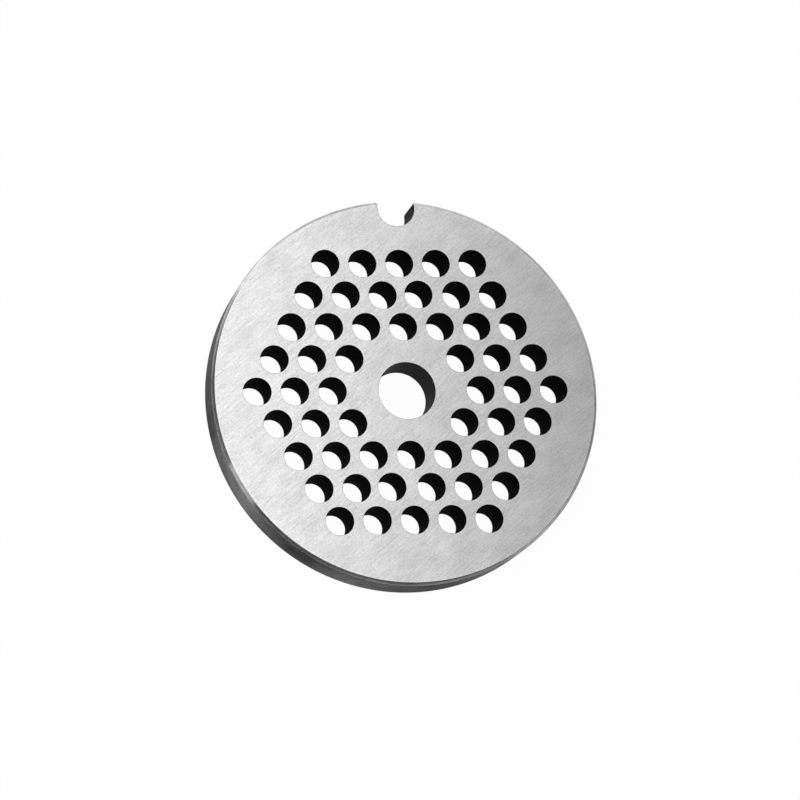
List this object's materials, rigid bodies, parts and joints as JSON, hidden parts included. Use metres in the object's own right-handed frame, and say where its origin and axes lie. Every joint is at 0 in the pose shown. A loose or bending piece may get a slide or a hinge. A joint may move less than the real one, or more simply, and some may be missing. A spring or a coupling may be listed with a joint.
{
  "type": "meat grinder plate",
  "caption": "Round perforated steel plate for a meat grinder, with a hexagonal field of straight holes, a central hub bore and a half-round locating notch in its rim.",
  "frame": {"origin": "centre of the hub bore in the plane of the seat face", "axes": "+Z along the hub bore, out of the knife face; +Y from the bore towards the locating notch; +X along the rows of holes"},
  "size_m": [0.0622, 0.0622, 0.0071],
  "materials": {
    "steel": "faces ground bright with a fine straight grain, rim and bores left darker"
  },
  "bodies": {
    "root": {"grinder_plate": "steel"}
  },
  "joints": []
}
